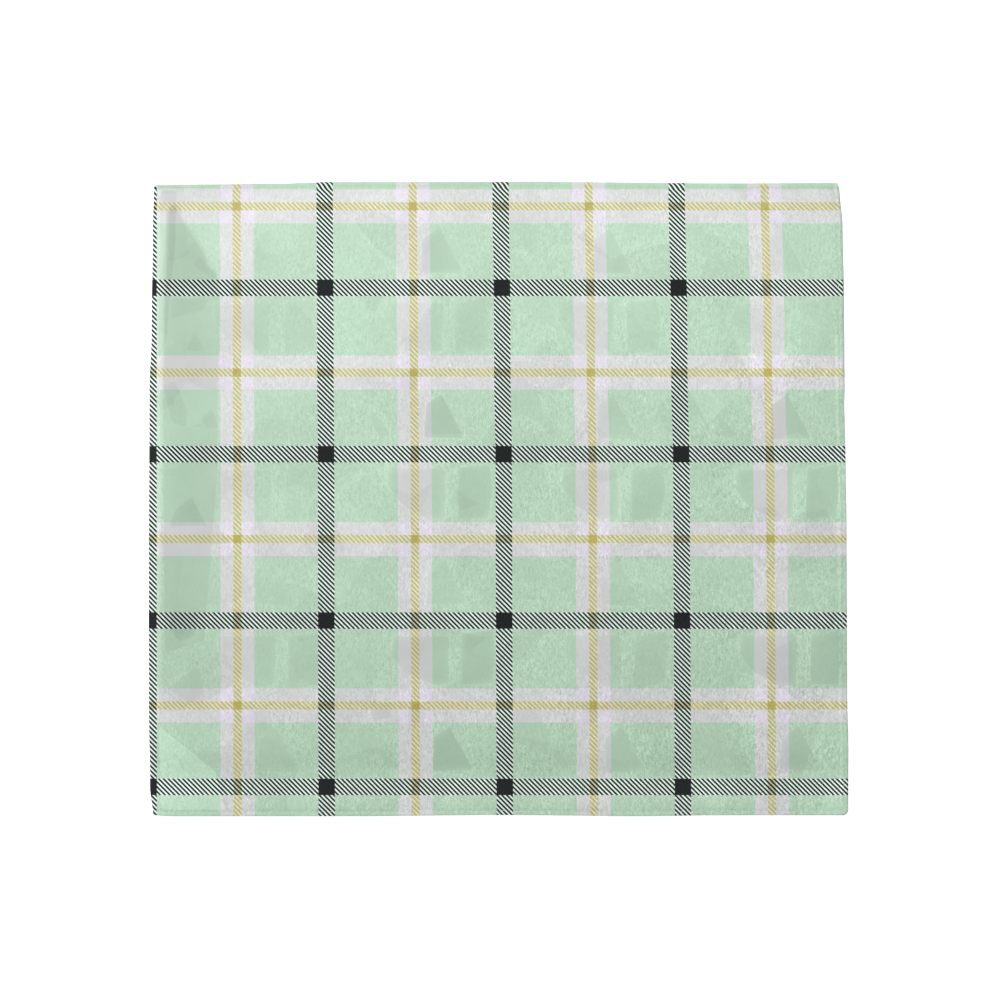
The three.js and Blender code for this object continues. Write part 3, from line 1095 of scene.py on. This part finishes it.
class NECKERCHIEF_OT_cloth(bpy.types.Operator):
    """Make the folded satin sheet with its hems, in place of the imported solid"""

    bl_idname = "neckerchief.cloth"
    bl_label = "Make the folded cloth"

    def execute(self, context):
        folding = Folding(context.scene.neckerchief_cloth)
        cloth = link_object(CLOTH_NAME, cloth_mesh(folding))
        cloth.data.materials.append(satin_material(context.scene.neckerchief_print))
        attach(cloth, BODY)
        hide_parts(SOLID)
        return {"FINISHED"}


class NECKERCHIEF_OT_stitches(bpy.types.Operator):
    bl_idname = "neckerchief.stitches"
    bl_label = "Sew the hems"

    def execute(self, context):
        folding = Folding(context.scene.neckerchief_cloth)
        sizes = context.scene.neckerchief_stitches
        path = stitch_path_object(folding)
        row = StitchTree()
        modifier = path.modifiers.new("stitches", "NODES")
        modifier.node_group = row.tree
        settings = {
            "Stitch pitch": sizes.pitch,
            "Stitch length": sizes.length,
            "Thread thickness": sizes.thread,
            "Rise": sizes.rise,
            "Thread": thread_material(sizes.colour),
        }
        for name, value in settings.items():
            modifier[row.identifiers[name]] = value
        shown = path.evaluated_get(context.evaluated_depsgraph_get())
        mesh = bpy.data.meshes.new_from_object(shown)
        if not mesh.polygons:
            raise RuntimeError("the stitches came out empty")
        mesh.name = STITCHES_NAME
        path.modifiers.clear()
        bpy.data.objects.remove(path)
        stitches = link_object(STITCHES_NAME, mesh)
        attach(stitches, BODY)

        cut = (2 * folding.half_cut_width * MM, 2 * folding.half_cut_height * MM)
        return {"FINISHED"}


def add_light(name, place, target, width, depth, power):
    """A rectangular soft light that faces a target."""
    lamp = bpy.data.lights.new(name, "AREA")
    lamp.shape = "RECTANGLE"
    lamp.size = width
    lamp.size_y = depth
    lamp.energy = power
    light = link_object(name, lamp)
    light.location = place
    direction = np.array(target) - np.array(place)
    flat = math.hypot(direction[0], direction[1])
    light.rotation_euler = (math.atan2(flat, -direction[2]), 0.0, math.atan2(-direction[0], direction[1]))
    return light


# The lights: place, target, width and depth. The high one stands to the left, and the near one above the top.
KEY_LIGHT = ((-2.7, 1.35, 4.2), (0.0, 0.0, 0.0), 1.4, 1.4)
NEAR_LIGHT = ((0.0, 0.16, 0.36), (0.0, 0.15, 0.0), 1.0, 0.12)
FLOOR_LEVEL = -0.1 * MM
SENSOR_WIDTH = 36.0


class NECKERCHIEF_OT_stage(bpy.types.Operator):
    """Make the pale floor, the soft studio lights and the camera above the cloth"""

    bl_idname = "neckerchief.stage"
    bl_label = "Set the stage"

    def execute(self, context):
        settings = context.scene.neckerchief_stage
        half = settings.floor_size / 2
        corners = [(-half, -half), (half, -half), (half, half), (-half, half)]
        mesh = bpy.data.meshes.new("pale_floor")
        mesh.from_pydata([(x, y, FLOOR_LEVEL) for x, y in corners], [], [(0, 1, 2, 3)])
        floor = link_object("pale_floor", mesh)
        floor.data.materials.append(floor_material(settings.floor_colour, settings.floor_glow))

        add_light("key_light", *KEY_LIGHT, settings.key_power)
        add_light("near_light", *NEAR_LIGHT, settings.near_power)
        world = bpy.data.worlds.new("pale_surround")
        world.use_nodes = True
        world.node_tree.nodes["Background"].inputs["Color"].default_value = (1.0, 1.0, 1.0, 1.0)
        world.node_tree.nodes["Background"].inputs["Strength"].default_value = settings.surround
        context.scene.world = world

        camera = bpy.data.cameras.new("camera_above")
        camera.sensor_width = SENSOR_WIDTH
        camera.lens = SENSOR_WIDTH * settings.camera_height / settings.view_width
        camera.dof.use_dof = False
        seen_from = link_object("camera_above", camera)
        low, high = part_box(SOLID)
        seen_from.location = (
            (low.x + high.x) / 2 + settings.view_right,
            (low.y + high.y) / 2 - settings.view_down,
            settings.camera_height,
        )
        context.scene.camera = seen_from
        context.scene.view_settings.view_transform = "Standard"
        return {"FINISHED"}


class NECKERCHIEF_PT_maker(bpy.types.Panel):
    """Lists the sizes and the steps that make the neckerchief"""

    bl_idname = "NECKERCHIEF_PT_maker"
    bl_label = "Folded neckerchief"
    bl_space_type = "VIEW_3D"
    bl_region_type = "UI"
    bl_category = "Neckerchief"

    def draw(self, context):
        steps = (
            (NECKERCHIEF_OT_cloth, (context.scene.neckerchief_cloth, context.scene.neckerchief_print)),
            (NECKERCHIEF_OT_stitches, (context.scene.neckerchief_stitches,)),
            (NECKERCHIEF_OT_stage, (context.scene.neckerchief_stage,)),
        )
        for operator, groups in steps:
            box = self.layout.box()
            for group in groups:
                for name in group.__annotations__:
                    box.prop(group, name)
            box.operator(operator.bl_idname)


GROUPS = {
    "neckerchief_cloth": ClothSizes,
    "neckerchief_print": PrintSettings,
    "neckerchief_stitches": StitchSizes,
    "neckerchief_stage": StageSettings,
}
CLASSES = (
    *GROUPS.values(),
    NECKERCHIEF_OT_cloth,
    NECKERCHIEF_OT_stitches,
    NECKERCHIEF_OT_stage,
    NECKERCHIEF_PT_maker,
)


def register():
    for made in CLASSES:
        bpy.utils.register_class(made)
    for name, group in GROUPS.items():
        setattr(bpy.types.Scene, name, bpy.props.PointerProperty(type=group))


def unregister():
    for name in GROUPS:
        delattr(bpy.types.Scene, name)
    for made in reversed(CLASSES):
        bpy.utils.unregister_class(made)


def main():
    register()
    bpy.ops.neckerchief.stage()
    bpy.ops.neckerchief.cloth()
    bpy.ops.neckerchief.stitches()


if __name__ == "__main__":
    main()
